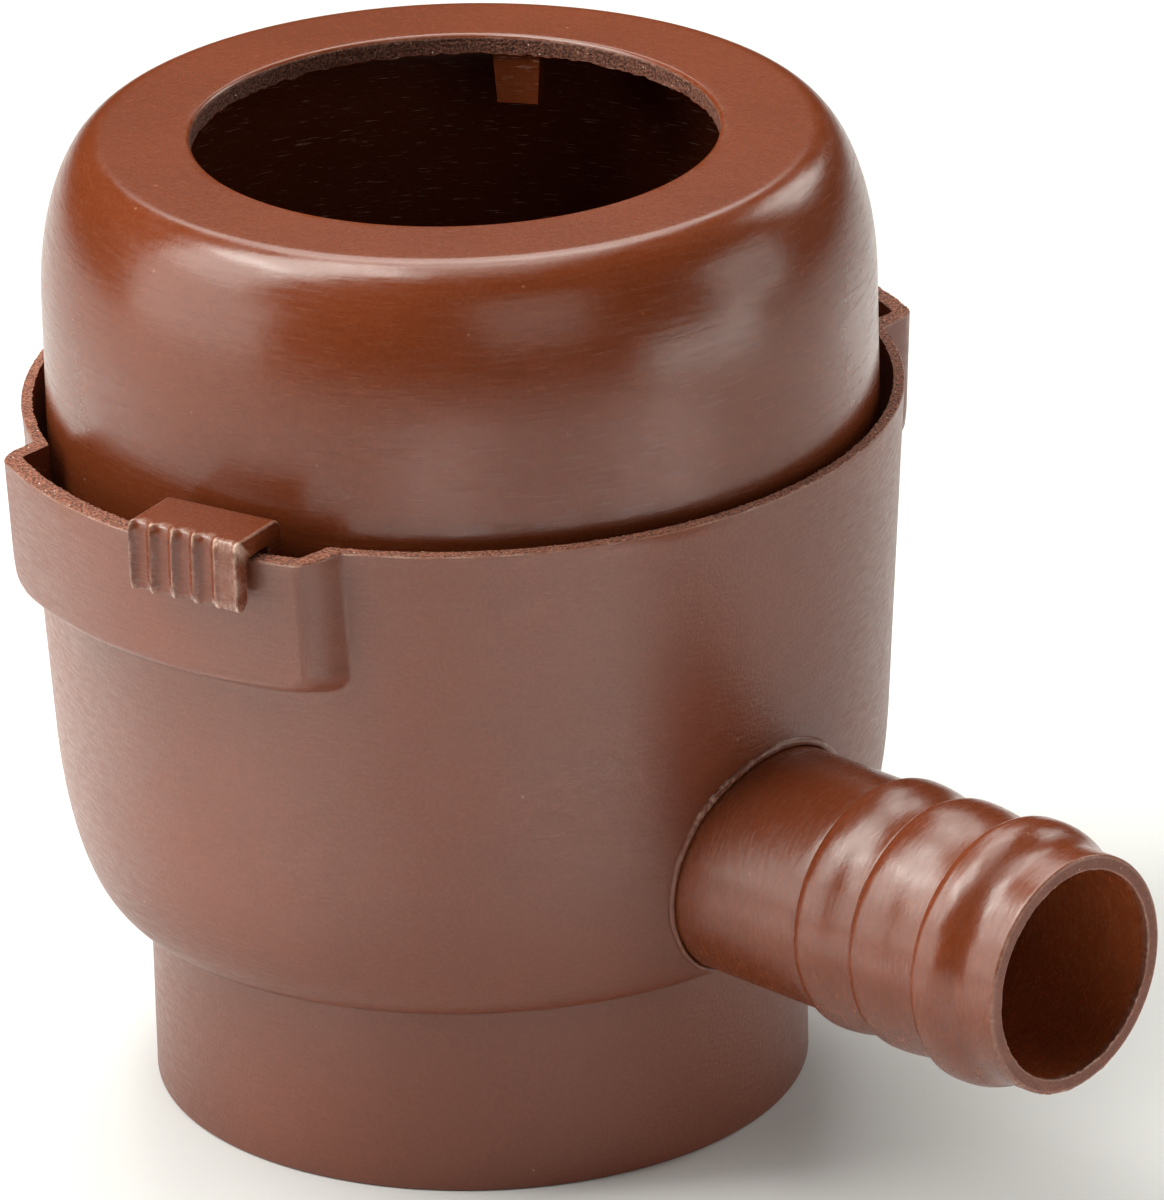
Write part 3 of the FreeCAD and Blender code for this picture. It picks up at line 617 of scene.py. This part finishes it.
def buildHood():
    form = hoodForm
    radius, top, foot = form["radius"], form["top"], form["foot"]
    land = radius - form["reach"]
    shoulder = top - form["drop"]
    under = top - form["lip"]
    bore = radius - form["wall"]
    hole, edge, footEdge, hair = form["hole"], form["holeRound"], form["footRound"], form["hair"]
    tabInner = hole + form["tabBack"]
    tabOuter = tabInner + form["tabThick"]
    tabMiddle = tabInner + form["tabThick"] / 2
    turn = hoodTurns(tabMiddle)
    outside = np.concatenate([bend((radius - footEdge, foot + footEdge), (footEdge, footEdge), -90, 0, 4),
                              run((radius, foot + footEdge), (radius, shoulder), 12),
                              bend((land, shoulder), (form["reach"], form["drop"]), 0, 90, 52),
                              run((land, top), (hole + edge, top), 12)])
    holeWall = np.concatenate([bend((hole + edge, top - edge), (edge, edge), 90, 180, 12),
                               run((hole, top - edge), (hole, under), 9)])
    tabRadii = np.concatenate([[hole, tabInner - hair], np.linspace(tabInner + hair, tabOuter - hair, 6),
                               [tabOuter + hair],
                               np.linspace(tabOuter + form["underFrom"], land, 6, endpoint=False)])
    underRows = np.stack([tabRadii, np.full_like(tabRadii, under)], axis=1)
    innerAxes = (form["reach"] - form["wall"], form["drop"] - form["lip"])
    inside = np.concatenate([bend((land, shoulder), innerAxes, 90, 0, 16),
                             run((bore, shoulder), (bore, foot + footEdge), 10),
                             bend((bore + footEdge, foot + footEdge), (footEdge, footEdge), 180, 270, 4)])
    section = np.concatenate([outside, holeWall, underRows, inside])
    # stretches: 0 outside, 1 hole's wall, 2 underside, 3 inside
    kinds = stretchOf((outside, holeWall, underRows, inside))[:, None]
    flat = np.ones_like(turn)
    radii = section[:, :1] * flat
    heights = section[:, 1:] * flat
    # tabs: the underside is pushed down by the tab's length, less and less towards its slanted sides
    across = np.min(np.abs(np.angle(np.exp(1j * (turn[:, None] - tabCentres())))), axis=1)
    across = np.sin(across) * tabMiddle
    push = np.clip((form["tabTop"] / 2 - across) / (form["tabTop"] / 2 - form["tabFoot"] / 2), 0, 1)
    inTab = (kinds == 2) & (radii > tabInner) & (radii < tabOuter)
    heights = heights - form["tabLength"] * push * inTab
    order = np.linspace(0, 1, len(section))[:, None]
    sway = sheetNoise(order * 1.6, turn, (7, 16), 31) * (kinds == 0)
    tear = sheetNoise(order * 3 % 1, turn, (90, 470), 32) * (kinds == 1) * (heights < top - edge)
    radii = radii + form["sway"] * sway * (heights < top - form["swayTop"])
    radii = radii + form["holeTear"] * np.clip(tear, 0, 1)
    lowEdge = (kinds == 1) & (heights < under + form["lowBand"])
    lowEdge = lowEdge | ((kinds == 2) & (radii < hole + hair / 2))
    heights = heights + form["lowTear"] * lowEdge * edgeNoise(turn, 240, 34)
    flecks = np.clip(sheetNoise(order * 5 % 1, turn, (40, 300), 33) * 2 - 0.4, 0, 1)
    edgeLine = bell(heights, top - form["wearDrop"], form["wearWidth"])
    # the inside and the underside, tabs left out, get the inner mark, painted darker as shade
    marks = {"wearAndHighlight": form["holeWear"] * (kinds == 1) * edgeLine * flecks,
             "cut": (kinds == 1) * np.clip((top - form["cutDrop"] - heights) / form["cutFade"], 0, 1),
             "inner": (kinds > 1) * flat * ~inTab,
             "level": (kinds == 0) * (radii < land + form["levelPast"])}
    return skin("hoodShell", turnedGrid(radii, turn, heights), marks)


# bead round the tail's root: a low half-round carried along the line where the tube meets the bowl
beadForm = {"inner": 12.9, "width": 0.95, "height": 0.34, "sunk": 0.3, "columns": 260, "rows": 14,
            # the side and line keys place painted highlights on the bead
            "lowest": 0.05, "step": 0.02, "highlightSide": (2.15, 0.42), "lineOff": 0.2, "lineWidth": 0.15}


def buildRootBead():
    form = beadForm
    turn = evenTurns(form["columns"])[None, :]
    circle = evenTurns(form["rows"])[:, None]
    # narrower below, where the bowl turns in towards the spigot
    width = form["width"] * (0.72 + 0.28 * np.sin(turn)) * (1 + 0.12 * edgeNoise(turn, 40, 41))
    radius = form["inner"] + width * (0.5 - 0.5 * np.cos(circle))
    lump = 1 + 0.3 * edgeNoise(turn, 70, 42)
    proud = np.where(np.sin(circle) > 0, form["height"] * lump, form["sunk"]) * np.sin(circle)
    across = radius * np.cos(turn)
    under = potForm["under"]
    height = np.maximum(tailForm["height"] + radius * np.sin(turn), under + form["lowest"])
    bowl = bowlRadius(height, 0, under)
    slope = (bowlRadius(height + form["step"], 0, under) - bowl) / form["step"]
    along = np.sqrt(bowl ** 2 - across ** 2)
    # the bowl's normal has an outward part and a downward part
    outward = 1 / np.sqrt(1 + slope ** 2)
    lift = proud * outward / bowl
    grid = np.stack([along * (1 + lift), across * (1 + lift), height - proud * slope * outward], axis=-1)
    flecks = np.clip(sheetNoise(0.5 - 0.5 * np.cos(circle), turn, (3, 260), 43) * 2, 0, 1)
    # painted highlight: a pale crescent on the bead's upper side and a pale line along its inner edge; the
    # crescent also gets half the torn look
    highlightPatch = bell(turn, *form["highlightSide"]) * flecks
    highlightLine = bell(radius, form["inner"] + form["lineOff"], form["lineWidth"])
    wearAndHighlight = np.clip(0.9 * highlightPatch + 0.22 * highlightLine, 0, 1) * (proud > 0)
    return skin("rootBead", grid, {"wearAndHighlight": wearAndHighlight, "cut": 0.5 * highlightPatch})


# rim crust: a thin strip along the rim's top, its height and its two edges roughened grain by grain
crustForm = {"columns": 1500, "steps": 9, "setIn": 0.14, "setOut": 0.1, "proud": 0.07, "drop": 0.02,
             "outerJag": 0.06, "jag": 0.16, "slowJag": 0.4, "sunk": 0.25, "paleAbove": 0.86, "paleWear": 0.8}


def buildRimCrust():
    form = crustForm
    rimZ = potForm["rimHeight"]
    turn = evenTurns(form["columns"])
    outer = potSide(rimZ, turn, False) - form["setIn"]
    inner = potSide(rimZ, turn, True)
    chance = np.random.default_rng(61)
    part = np.linspace(0, 1, form["steps"])[:, None]
    grains = chance.uniform(-1, 1, (form["steps"], form["columns"]))
    radii = outer * (1 - part) + inner * part
    radii[0] += form["outerJag"] * grains[0]
    radii[-1] -= form["jag"] * np.clip(grains[-1] + form["slowJag"] * edgeNoise(turn, 300, 62), 0, 1)
    heights = rimZ + form["proud"] * grains * np.sin(np.pi * np.clip(part, 0.12, 0.88)) - form["drop"]
    # both edges go down into the rim
    buried = np.full((1, form["columns"]), rimZ - form["sunk"])
    radii = np.concatenate([outer[None, :], radii, inner[None, :] + form["setOut"]])
    heights = np.concatenate([buried, heights, buried])
    wearAndHighlight = np.zeros_like(radii)
    wearAndHighlight[1] = form["paleWear"] * (chance.uniform(0, 1, form["columns"]) > form["paleAbove"])
    return skin("rimCrust", turnedGrid(radii, turn, heights), {"wearAndHighlight": wearAndHighlight, "cut": np.ones_like(radii)})


# slide ring: a thin ring that follows the bowl's inside, with a window in front of the hose tail
ringForm = {"inset": 1.55, "wall": 1.2, "foot": 24.2, "top": 67.4, "footWidth": 2.0, "columns": 200,
            "windowHalf": 9.1, "windowSill": 26.6, "windowTop": 47.05, "windowRound": 3.0,
            "windowFrom": 24.0}


def buildRing():
    form = ringForm
    inset, foot, top = form["inset"], form["foot"], form["top"]
    reach, drop, lean, meet, centre = bowlSide(inset, foot)
    footIn = centre - form["footWidth"]
    corner = potForm["cornerHeight"]
    outside = [run((footIn, foot), (centre, foot), 3),
               bend((centre, corner), (reach, drop), 270, 360 - math.degrees(lean), 18),
               run((wallRadius(meet, inset), meet), (wallRadius(top, inset), top), 10)]
    inset = inset + form["wall"]
    floor = foot + form["wall"]
    reach, drop, lean, meet, centre = bowlSide(inset, floor)
    inside = [run((wallRadius(top, inset), top), (wallRadius(meet, inset), meet), 10),
              bend((centre, corner), (reach, drop), -math.degrees(lean), -90, 18),
              run((centre, floor), (footIn, floor), 3)]
    section = np.concatenate(outside + inside)
    turn = evenTurns(form["columns"])
    flat = np.ones_like(section[:, :1] * turn)
    grid = turnedGrid(section[:, :1] * flat, turn, section[:, 1:] * flat)
    # the whole ring gets the inner mark and is painted darker as shade
    piece = skin("slideRing", grid, {"inner": flat})
    # the window's outline is a rectangle with round corners, carried along the tail's axis
    half, edge = form["windowHalf"] - form["windowRound"], form["windowRound"]
    low, high = form["windowSill"] + edge, form["windowTop"] - edge
    places = ((half, high), (-half, high), (-half, low), (half, low))
    outline = np.concatenate([bend(place, (edge, edge), 90 * side, 90 * side + 91, 8)
                              for side, place in enumerate(places)])
    along = np.array((form["windowFrom"], pocketForm["radius"]))[:, None]
    cutter = np.stack(np.broadcast_arrays(along, outline[:, 0], outline[:, 1]), axis=-1)
    cutHole(piece, skin("windowCutter", cutter, {}, capped=True))
    return piece


# finger grip: a flat section carried along a hook's path, with hollow flutes down its front face
gripForm = {"width": 13.4, "root": 41.9, "armFoot": 65.3, "armTop": 67.4, "legIn": 45.4, "legOut": 47.7,
            "top": 81.1, "under": 78.75, "plateIn": 51.86, "face": 54.01, "foot": 73.4, "backRound": 1.3,
            "frontRound": 0.4, "insideRound": 0.65, "lead": 0.8, "edge": 0.3, "pitch": 2.66,
            "fluteHalf": 1.22, "fluteDepths": (0.66, 0.66, 0.66, 0.66, 0.16), "fluteFlat": 3.0,
            "arch": 1.1, "archBack": 0.55, "topSpan": 6.61, "topPower": 6, "endBell": (0.3, 0.5),
            "endWear": 0.2, "thinnest": 0.6, "steps": 90, "places": (-77.7, 102.3), "noiseFrom": 60,
            "noiseSpan": 25, "noiseTurn": 0.4}


def gripPath():
    # outside and inside lines of the hook, in stretches:
    # 0 arm, 1 leg, 2 back corner, 3 top, 4 front corner, 5 plate, 6 lower corner, 7 foot
    form = gripForm
    back, front, inside, lead = form["backRound"], form["frontRound"], form["insideRound"], form["lead"]
    top, under, foot, root = form["top"], form["under"], form["foot"], form["root"]
    legIn, legOut, plate, face = form["legIn"], form["legOut"], form["plateIn"], form["face"]
    armTop, armFoot = form["armTop"], form["armFoot"]
    outer = [run((root, armTop), (legIn, armTop), 4),
             run((legIn, armTop), (legIn, top - back), 8),
             bend((legIn + back, top - back), (back, back), 180, 90, 8),
             run((legIn + back, top), (face - front, top), 10),
             bend((face - front, top - front), (front, front), 90, 0, 6),
             run((face, top - front), (face, foot + front), 40),
             bend((face - front, foot + front), (front, front), 0, -90, 6),
             [(face - front, foot)]]
    inner = [run((root, armFoot), (legOut, armFoot), 4),
             run((legOut, armFoot), (legOut, under - inside), 8),
             bend((legOut + inside, under - inside), (inside, inside), 180, 90, 8),
             run((legOut + inside, under), (plate - inside, under), 10),
             bend((plate - inside, under - inside), (inside, inside), 90, 0, 6),
             run((plate, under - inside), (plate, foot + lead), 40),
             run((plate, foot + lead), (plate + lead, foot), 6),
             [(plate + lead, foot)]]
    return np.concatenate(outer), np.concatenate(inner), stretchOf(outer)


# a flute's depth across the face: one less the share of its half-width to a power,
# so that its valley is nearly flat
def fluteDepth(across):
    form = gripForm
    depths = np.array(form["fluteDepths"])
    centres = (np.arange(len(depths)) - (len(depths) - 1) / 2) * form["pitch"]
    off = np.abs(across[..., None] - centres) / form["fluteHalf"]
    return np.max(depths * (1 - np.clip(off, 0, 1) ** form["fluteFlat"]), axis=-1)


# section of the grip: places across its width, how far each is set in from the near and the far line
# by the quarter-round corners, and whether it lies on the far line
def gripSection():
    form = gripForm
    half, edge = form["width"] / 2, form["edge"]
    face = np.linspace(-half + edge, half - edge, form["steps"])
    arc = np.radians(np.linspace(15, 90, 5))
    corner = half - edge + edge * np.sin(arc)
    cornerDepth = edge * (1 - np.cos(arc))
    back = np.linspace(half - edge, -half + edge, 12)
    zero = 0 * arc
    # once round: front side, rounded corner, end face, corner, back side and the other end
    across = np.concatenate([face, corner, corner[::-1], back, -corner, -corner[::-1]])
    near = np.concatenate([0 * face, cornerDepth, zero, 0 * back, zero, cornerDepth[::-1]])
    far = np.concatenate([0 * face, zero, cornerDepth[::-1], 0 * back, cornerDepth, zero])
    onFar = np.concatenate([0 * face, zero, zero + 1, 0 * back + 1, zero + 1, zero])
    return across, near, far, onFar


def buildGrip(name, place):
    form = gripForm
    outer, inner, kinds = gripPath()
    across, near, far, onFar = gripSection()
    thick = np.linalg.norm(outer - inner, axis=1)
    share = (onFar + (near - far) / np.maximum(thick, form["thinnest"])[:, None])[..., None]
    section = outer[:, None, :] * (1 - share) + inner[:, None, :] * share
    # flutes cut the front plate, and their tops scallop the front edge of the hook's top
    deepest = max(form["fluteDepths"])
    depth = fluteDepth(across) * (1 - onFar)
    ridge = np.clip(1 - depth / deepest, 0, 1) * (1 - onFar)
    endOff, endWidth = form["endBell"]
    ends = bell(outer[:, 1], form["top"] - endOff, endWidth)
    ends = ends + bell(outer[:, 1], form["foot"] + endOff, endWidth)
    topShare = np.clip((outer[:, 0] - form["legIn"] - form["backRound"]) / form["topSpan"], 0, 1)
    # each flute's top is rounded over by a quarter circle, the ridges between stay up
    rise = 1 - np.clip((form["top"] - outer[:, 1]) / form["arch"], 0, 1)
    arch = 1 + form["archBack"] * (1 - np.sqrt(1 - rise ** 2)) / deepest
    onTop = np.where(kinds == 3, topShare ** form["topPower"], 0)
    weight = (arch * np.where(kinds >= 4, 1, onTop))[:, None]
    onFront = (kinds >= 4)[:, None]
    worn = form["endWear"] * ends[:, None] * ridge * onFront
    radii = section[..., 0] - depth * weight - worn
    heights = section[..., 1]
    turn = math.radians(place)
    sideways = across * np.ones_like(radii)
    grid = np.stack([radii * math.cos(turn) - sideways * math.sin(turn),
                     radii * math.sin(turn) + sideways * math.cos(turn), heights], axis=-1)
    order = (heights - form["noiseFrom"]) / form["noiseSpan"]
    flecks = np.clip(0.6 + sheetNoise(order, sideways * form["noiseTurn"], (40, 90), 51), 0.15, 1)
    # pale ridges, flute ends and rounded edges: partly rubbed wear, partly painted highlight
    wearAndHighlight = onFront * (1 - onFar) * ridge ** 3 * (0.22 + 0.75 * ends[:, None]) * flecks
    rounded = (near + far > 0) & (near + far < 0.9 * form["edge"])
    wearAndHighlight = wearAndHighlight + 0.3 * rounded * (kinds >= 2)[:, None] * flecks
    wearAndHighlight = wearAndHighlight + 0.16 * (kinds == 4)[:, None] * (1 - onFar) * flecks
    return skin(name, grid, {"wearAndHighlight": np.clip(wearAndHighlight, 0, 1)}, capped=True)


# round cutter along the tail's axis, closed by flat ends
cutterForm = {"columns": 120, "firstStep": 0.37}    # its corners keep off the pot's own lines


def tailCutter():
    form = tailForm
    along = np.array((bowlSide(potForm["wall"], potForm["floor"])[4], form["mouth"]))[:, None]
    radius = form["radius"] + form["gap"]
    turn = evenTurns(cutterForm["columns"]) + cutterForm["firstStep"] * fullTurn / cutterForm["columns"]
    circle = (radius * np.cos(turn), form["height"] + radius * np.sin(turn))
    return skin("tailCutter", np.stack(np.broadcast_arrays(along, *circle), axis=-1), {}, capped=True)


# takes the cutter's volume out of a piece and removes the cutter
def cutHole(piece, cutter):
    modifier = piece.modifiers.new("hole", "BOOLEAN")
    modifier.operation = "DIFFERENCE"
    modifier.solver = "EXACT"
    modifier.object = cutter
    done = bpy.data.meshes.new_from_object(piece.evaluated_get(bpy.context.evaluated_depsgraph_get()))
    piece.modifiers.remove(modifier)
    piece.data = done
    bpy.data.objects.remove(cutter)


seat(buildTail(), brownPlastic("tailPlastic", tailLook), "pot", "hose_tail")
seat(buildHood(), brownPlastic("hoodPlastic", hoodLook), "pot", "hood")
potPlastic = brownPlastic("potPlastic", potLook)
potPiece = buildPot()
cutHole(potPiece, tailCutter())
seat(potPiece, potPlastic, "pot", "pot")
seat(buildRootBead(), potPlastic, "pot", "pot")
seat(buildRimCrust(), potPlastic, "pot", "pot")
gripPlastic = brownPlastic("gripPlastic", gripLook)
seat(buildRing(), gripPlastic, "slide_ring", "slide_ring")
for gripName, gripPlace in zip(("frontGrip", "rearGrip"), gripForm["places"]):
    seat(buildGrip(gripName, gripPlace), gripPlastic, "slide_ring", "slide_ring", 50)
print("pieces built")


# pale floor: a square sheet at the foot, wide enough to fill the view
floorSheet = {"half": 3.0, "tone": (0.66, 0.66, 0.66), "rough": 0.7}


def layFloor():
    half = floorSheet["half"]
    mesh = bpy.data.meshes.new("floor")
    corners = [(-half, -half, 0), (half, -half, 0), (half, half, 0), (-half, half, 0)]
    mesh.from_pydata(corners, [], [(0, 1, 2, 3)])
    material = bpy.data.materials.new("floorPaper")
    material.use_nodes = True
    shader = material.node_tree.nodes["Principled BSDF"]
    shader.inputs["Base Color"].default_value = (*floorSheet["tone"], 1)
    shader.inputs["Roughness"].default_value = floorSheet["rough"]
    mesh.materials.append(material)
    floor = newObject("floor", mesh)


# camera fitted to the round edges: pixels of the picture, metres and degrees
view = {"focalPixels": 11727.0, "distance": 1.2588, "azimuth": 45.4, "elevation": 23.25, "roll": -1.76,
        "aim": (0, 0, 0.05325), "aimPixel": (469.5, 596.5), "imageSize": (1164, 1200), "sensor": 36.0,
        "clip": (0.1, 20)}
# soft boxes: each is placed by its angle from the camera's side, its height angle and its distance in metres;
# it faces the object, or a place on the floor where that is given, and spread narrows its beam
wideBox = {"away": 0.9, "size": (0.5, 0.5)}
floorGlow = {"rise": 89, "away": 0.5, "size": (0.1, 0.1), "spread": 10}
softBoxes = {
    "keyHigh": {**wideBox, "turn": -85, "rise": 66, "watts": 7.6},
    "leftHigh": {**wideBox, "turn": -82, "rise": 42, "watts": 5.0},
    "leftLow": {**wideBox, "turn": -77, "rise": 12, "size": (0.75, 0.45), "watts": 3.6},
    "topBox": {**wideBox, "turn": 0, "rise": 89, "watts": 1.4},
    "backHigh": {**wideBox, "turn": 180, "rise": 70, "watts": 2.8},
    "backLow": {**wideBox, "turn": 180, "rise": 50, "watts": 2.8},
    "rightBox": {**wideBox, "turn": 20, "rise": 25, "size": (0.45, 0.45), "watts": 0.8},
    "rightSide": {**wideBox, "turn": 86, "rise": 14, "size": (0.4, 0.4), "watts": 1.2},
    "rightLow": {"turn": 66, "rise": 0, "away": 0.45, "size": (0.28, 0.1), "watts": 0.26},
    "rightBack": {"turn": 128, "rise": 30, "away": 0.8, "size": (0.3, 0.3), "watts": 1.4},
    "leftGlow": {**floorGlow, "turn": -108, "watts": 0.34, "aim": (-0.133, -0.069, 0)},
    "frontGlow": {**floorGlow, "turn": -45, "watts": 0.14, "aim": (0.001, -0.150, 0)},
    "nearGlow": {**floorGlow, "turn": -7, "watts": 0.09, "aim": (0.152, -0.189, 0)},
    "rightGlow": {**floorGlow, "turn": 18, "size": (0.08, 0.08), "watts": 0.2, "spread": 8,
                  "aim": (0.143, -0.062, 0)},
    "sideGlow": {**floorGlow, "turn": 54, "watts": 0.14, "aim": (0.25, 0.03, 0)},
    "backGlow": {**floorGlow, "turn": 129, "watts": 0.1, "aim": (0.03, 0.29, 0)},
}
lightTone = (1.0, 1.0, 0.94)
surround = {"tone": (1.0, 1.0, 1.0), "power": 0.01}


def towards(azimuth, rise):
    a = math.radians(azimuth)
    e = math.radians(rise)
    return Vector((math.sin(a) * math.cos(e), -math.cos(a) * math.cos(e), math.sin(e)))


def lookBack(back):
    # axes of something that looks along -back with its top up
    right = Vector((0, 0, 1)).cross(back).normalized()
    up = back.cross(right)
    return Matrix((right, up, back)).transposed()


def setCamera():
    # aims at the axis, then turns so that the aim lands on its own pixel, then rolls
    data = bpy.data.cameras.new("camera")
    camera = newObject("camera", data)
    wide, high = view["imageSize"]
    data.sensor_width = view["sensor"]
    data.lens = view["focalPixels"] * view["sensor"] / max(wide, high)
    back = towards(view["azimuth"], view["elevation"])
    sideways = math.atan2(view["aimPixel"][0] - wide / 2, view["focalPixels"])
    downwards = math.atan2((view["aimPixel"][1] - high / 2) * math.cos(sideways), view["focalPixels"])
    turn = lookBack(back) @ Matrix.Rotation(downwards, 3, "X") @ Matrix.Rotation(sideways, 3, "Y")
    turn = turn @ Matrix.Rotation(math.radians(view["roll"]), 3, "Z")
    place = Vector(view["aim"]) + back * view["distance"]
    camera.matrix_world = Matrix.Translation(place) @ turn.to_4x4()
    data.clip_start, data.clip_end = view["clip"]
    bpy.context.scene.camera = camera


def hangLights():
    for name, box in softBoxes.items():
        data = bpy.data.lights.new(name, "AREA")
        data.shape = "RECTANGLE"
        data.size, data.size_y = box["size"]
        data.energy = box["watts"]
        light = newObject(name, data)
        data.spread = math.radians(box.get("spread", 180))
        data.color = lightTone
        back = towards(view["azimuth"] + box["turn"], box["rise"])
        place = Vector(box.get("aim", view["aim"])) + back * box["away"]
        light.matrix_world = Matrix.Translation(place) @ lookBack(back).to_4x4()
    world = bpy.data.worlds.new("surround")
    world.use_nodes = True
    sky = world.node_tree.nodes["Background"]
    sky.inputs["Color"].default_value = (*surround["tone"], 1)
    sky.inputs["Strength"].default_value = surround["power"]
    bpy.context.scene.world = world


layFloor()
setCamera()
hangLights()
bpy.context.scene.view_settings.view_transform = "Standard"
print("stage, camera and lights set")
